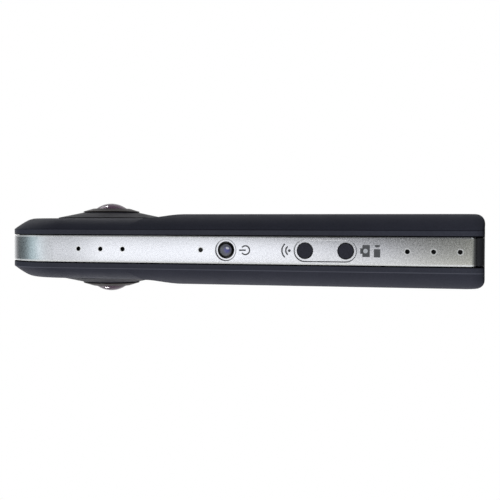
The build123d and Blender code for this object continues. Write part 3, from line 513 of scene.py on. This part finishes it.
def make_finishes():
    """Material of each of the record's slots."""
    return {
        "shell": shell_finish(),
        "band": band_finish(),
        "base": moulded("base_plastic", srgb(28, 28, 34), srgb(38, 38, 45), 0.5, 4200, 0.00002, 0.0001),
        "ring": moulded("ring_plastic", srgb(26, 26, 35), srgb(38, 38, 48), 0.4, 6500, 0.00001, 0.0001,
                        IOR=1.07),
        "bezel": moulded("bezel_plastic", srgb(34, 29, 31), srgb(48, 42, 43), 0.3, 6500, 0.00001, 0.0001,
                         IOR=1.08),
        "dome": glass("coated_dome", (0.042, 0.018, 0.038, 1.0), 0.01, 300,
                      IOR=1.3, Specular_IOR_Level=0.7, Specular_Tint=(0.9, 0.7, 0.95, 1.0)),
        "barrel": moulded("barrel_black", srgb(7, 7, 9), srgb(13, 13, 16), 0.5, 5000, 0.00002),
        "optics": glass("optical_glass", (0.9, 0.96, 0.94, 1.0), 0.01, 400, IOR=1.6,
                        Specular_Tint=(0.5, 0.9, 0.6, 1.0)),
        "sensor": moulded("sensor_face", srgb(34, 27, 58), srgb(52, 40, 86), 0.12, 3000, 0.00001),
        "board": board_finish(),
        "flex": moulded("amber_film", srgb(150, 78, 22), srgb(196, 112, 40), 0.35, 2600, 0.00001),
        "casting": metal("cast_metal", srgb(150, 152, 155), srgb(190, 192, 195),
                         0.42, 2600, 0.00003, 0.0001),
        "steel": metal("plated_steel", srgb(176, 177, 180), srgb(214, 215, 218),
                       0.28, 5200, 0.00001, 0.00006),
        "brass": metal("nickel_plate", srgb(196, 190, 172), srgb(228, 222, 206),
                       0.24, 4200, 0.00001, 0.00006),
        "insulator": moulded("insulator", srgb(22, 22, 24), srgb(33, 33, 36),
                             0.45, 5200, 0.00001, 0.00006),
        "mesh": woven("dust_mesh", srgb(10, 10, 11), srgb(44, 44, 47), 0.0009),
        "power_key": power_key_finish(),
        "key": small_key_finish(),
        "lamp": moulded("lamp_chip", srgb(214, 196, 122), srgb(236, 224, 168), 0.35, 3000, 0.00001),
        "light_pipe": glass("smoked_pipe", (0.006, 0.006, 0.008, 1.0), 0.3, 900,
                            IOR=1.3, Specular_IOR_Level=0.1),
        "trim": metal("satin_trim", srgb(178, 180, 186), srgb(214, 216, 222),
                      0.3, 5200, 0.00001, 0.00008),
        "window": moulded("smoked_window", srgb(14, 14, 17), srgb(22, 22, 26), 0.1, 3000, 0.000002,
                          0.0001, Coat_Weight=0.6, Coat_Roughness=0.05),
        "chip": moulded("chip_moulding", srgb(20, 20, 21), srgb(34, 34, 35), 0.55, 4200, 0.00002, 0.0001),
        "can": metal("tinned_can", srgb(168, 168, 162), srgb(200, 200, 194), 0.34, 3200, 0.00001, 0.0001),
        "spreader": metal("copper_plate", srgb(176, 112, 78), srgb(214, 150, 112), 0.3, 3200, 0.00001),
        "cell": metal("foil_pouch", srgb(158, 161, 166), srgb(196, 199, 204), 0.38, 900, 0.00004, 0.0001),
        "copper": metal("copper_film", srgb(184, 118, 84), srgb(220, 156, 120), 0.32, 3200, 0.00001),
    }


def slot_of_node():
    """Name of the record's slot of each node."""
    return {entry["node"]: entry["material_slot"] for entry in frame["record"]["subparts"]}


def dress_nodes(finishes):
    slots = slot_of_node()
    for name, node in nodes.items():
        finish = finishes[slots[name]]
        if not node.data.materials:
            node.data.materials.append(finish)
        for place in node.material_slots:
            place.link = "OBJECT"
            place.material = finish


# Pictograms: thin prints on the band's face, given as outlines in the band's Z and Y, in millimetres.

band_face = half_size("side_band", 0) / MM
print_height = 0.012
print_depth = 0.004
arc_steps = 28
power_sign_middle = (58.62, 0.0)
wireless_sign_foot = (47.0, 0.0)
stroke_half = 0.19


def print_piece(name, loops, finish, lift=0.0):
    """Raised print: each loop of (z, y) points is one filled patch on the band's face."""
    mesh = bpy.data.meshes.new(name)
    form = bmesh.new()
    foot = (band_face - print_depth) * MM
    top = (band_face + print_height + lift) * MM
    for loop in loops:
        low = [form.verts.new((foot, y * MM, z * MM)) for z, y in loop]
        high = [form.verts.new((top, y * MM, z * MM)) for z, y in loop]
        form.faces.new(high)
        form.faces.new(low[::-1])
        for first in range(len(loop)):
            second = (first + 1) % len(loop)
            form.faces.new((low[first], low[second], high[second], high[first]))
    bmesh.ops.recalc_face_normals(form, faces=form.faces)
    form.to_mesh(mesh)
    form.free()
    mesh.materials.append(finish)
    piece = bpy.data.objects.new(name, mesh)
    scene.collection.objects.link(piece)
    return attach(piece, "camera")


def polar(centre, radius, angle):
    """Point at a distance from centre, at an angle from +Z towards +Y."""
    return (centre[0] + radius * math.cos(angle), centre[1] + radius * math.sin(angle))


def ring_band(centre, radius, width, start, end):
    """Outline of an arc-shaped stroke around centre, from one angle in degrees to the other."""
    turn = (end - start) / arc_steps
    angles = [math.radians(start + turn * step) for step in range(arc_steps + 1)]
    outer = [polar(centre, radius + width / 2, angle) for angle in angles]
    inner = [polar(centre, radius - width / 2, angle) for angle in angles]
    return outer + inner[::-1]


def disc(centre, radius, steps=32):
    return [polar(centre, radius, 2 * math.pi * step / steps) for step in range(steps)]


def block(low_z, high_z, low_y, high_y):
    return [(low_z, low_y), (high_z, low_y), (high_z, high_y), (low_z, high_y)]


def make_pictograms():
    ink = moulded("print_ink", srgb(74, 75, 79), srgb(98, 99, 103), 0.55, 5200, 0.000004)
    pale = moulded("print_pale", srgb(196, 198, 204), srgb(214, 216, 222), 0.5, 5200, 0.000004)
    print_piece("power_sign", [
        ring_band(power_sign_middle, 1.1, 0.36, 38, 322),
        block(58.5, 60.3, -stroke_half, stroke_half),
    ], ink)
    print_piece("wireless_sign", [
        disc((47.29, 0.0), 0.36),
        ring_band(wireless_sign_foot, 1.2, 2 * stroke_half, -58, 58),
        ring_band(wireless_sign_foot, 2.18, 2 * stroke_half, -50, 50),
    ], ink)
    print_piece("still_sign", [
        block(27.22, 29.04, -1.41, 1.54),
        block(29.0, 29.58, -0.62, 0.73),
    ], ink)
    print_piece("still_sign_dot", [disc((28.28, 0.05), 0.56)], pale, 0.006)
    print_piece("video_sign", [
        block(24.7, 26.23, -1.48, 0.54),
        [(25.15, 0.96), (25.7, 0.96), (26.0, 1.2), (26.12, 1.56), (24.73, 1.56), (24.85, 1.2)],
    ], ink)


# Stage: floor, surroundings and lamps.

floor_reach = 0.14
floor_corners = 64
open_half_x = 20 * MM
open_half_y = 6 * MM
dim_side = (0.72, 0.66, -0.2)
dim_height = (-0.3, 0.0, 0.95)
tinted_height = (0.2, 0.0, 1.0)


def make_floor():
    """Pale floor, seen from above only and open under the base, so that the base can be looked at."""
    material, graph = new_material("pale_floor")
    soft = graph.noise(6, 3.0)
    colour = graph.blend(graph.span(soft, 0.3, 0.7), srgb(244, 244, 243), srgb(249, 249, 248))
    surface = graph.shader(colour, 0.8, graph.bump(graph.noise(400), 0.05, 0.0001))
    clear = graph.node("ShaderNodeBsdfTransparent")
    from_middle = graph.node("ShaderNodeVectorMath", operation="LENGTH")
    graph.link(graph.place, from_middle.inputs[0])
    fade = graph.span(from_middle.outputs["Value"], 0.02, floor_reach, 0.0, 1.0, smooth=True)
    below = graph.node("ShaderNodeNewGeometry").outputs["Backfacing"]
    under_x = graph.apply("LESS_THAN", graph.apply("ABSOLUTE", graph.axis("X")), open_half_x)
    under_y = graph.apply("LESS_THAN", graph.apply("ABSOLUTE", graph.axis("Y")), open_half_y)
    hidden = graph.either(below, graph.times(under_x, under_y))
    mixed = graph.node("ShaderNodeMixShader")
    graph.link(graph.either(fade, hidden), mixed.inputs["Fac"])
    graph.link(surface.outputs["BSDF"], mixed.inputs[1])
    graph.link(clear.outputs["BSDF"], mixed.inputs[2])
    graph.link(mixed.outputs["Shader"], graph.output.inputs["Surface"])
    mesh = bpy.data.meshes.new("floor")
    rim = [(*point, 0) for point in disc((0, 0), floor_reach, floor_corners)]
    mesh.from_pydata(rim, [], [tuple(range(floor_corners))])
    mesh.materials.append(material)
    floor = bpy.data.objects.new("floor", mesh)
    scene.collection.objects.link(floor)


def make_world():
    """White backdrop to the camera. The surroundings that light the object are softly graded."""
    world = bpy.data.worlds.new("studio")
    graph = Graph(world, "ShaderNodeOutputWorld", "Generated")
    around = graph.span(graph.facing(dim_side), 0.05, 0.88, 0.85, 0.09, smooth=True)
    high = graph.span(graph.facing(dim_height), 0.74, 0.98, 1.0, 0.12, smooth=True)
    level = graph.times(around, high)
    path = graph.node("ShaderNodeLightPath")
    mirrored = graph.either(path.outputs["Is Glossy Ray"], path.outputs["Is Transmission Ray"])
    behind = graph.fall(graph.axis("X"), -0.75, -0.4, smooth=True)
    seen = graph.either(path.outputs["Is Camera Ray"], graph.times(mirrored, behind))
    strength = graph.add(graph.times(graph.outside(seen), level), seen)
    overhead = graph.span(graph.facing(tinted_height), 0.7, 0.98, smooth=True)
    tinted = graph.times(overhead, graph.outside(seen))
    background = graph.node("ShaderNodeBackground")
    sky = graph.blend(tinted, (1.0, 1.0, 1.0, 1.0), (0.76, 0.96, 1.0, 1.0))
    graph.feed(background.inputs["Color"], sky)
    graph.link(strength, background.inputs["Strength"])
    graph.link(background.outputs["Background"], graph.output.inputs["Surface"])
    scene.world = world


def make_lamp(name, place, aim, width, height, radiance, tint=(1.0, 1.0, 1.0)):
    """Soft elliptical lamp whose face shines with the given radiance."""
    data = bpy.data.lights.new(name, "AREA")
    data.shape = "ELLIPSE"
    data.color = tint
    data.size = width
    data.size_y = height
    data.energy = radiance * width * height * math.pi**2 / 4
    lamp = bpy.data.objects.new(name, data)
    ahead = (Vector(aim) - Vector(place)).normalized()
    lamp.location = place
    lamp.rotation_euler = ahead.to_track_quat("-Z", "Y").to_euler()
    scene.collection.objects.link(lamp)


key_side = (0.02, 0.0, 0.07)
key_side_low = (0.02, 0.0, 0.03)
body_middle = (0.0, 0.0, 0.06)
lens_middle = (0.0, 0.0, 0.11)


def make_lights():
    make_lamp("soft_box", (0.678, 0.0, 0.529), key_side, 0.49, 0.8, 0.85, (0.95, 0.97, 1.0))
    make_lamp("key_box", (0.88, -0.04, 0.31), key_side, 0.4, 0.42, 0.76, (0.94, 0.94, 1.0))
    make_lamp("low_box", (0.85, -0.26, 0.11), key_side_low, 0.34, 0.24, 0.7, (1.0, 1.0, 0.96))
    make_lamp("rear_box", (-0.5, 0.85, 0.7), body_middle, 0.5, 0.5, 2.4)
    make_lamp("front_box", (-0.4, -0.9, 0.65), body_middle, 0.5, 0.5, 1.2)
    make_lamp("side_box", (0.0, -0.95, 0.25), body_middle, 0.4, 0.5, 1.6)
    make_lamp("rear_spark", (-0.4, 0.685, 0.427), lens_middle, 0.06, 0.06, 60.0)
    make_lamp("front_spark", (-0.4, -0.685, 0.427), lens_middle, 0.06, 0.14, 45.0)


make_camera()
dress_nodes(make_finishes())
make_pictograms()
make_floor()
make_world()
make_lights()
scene.view_settings.view_transform = "Standard"
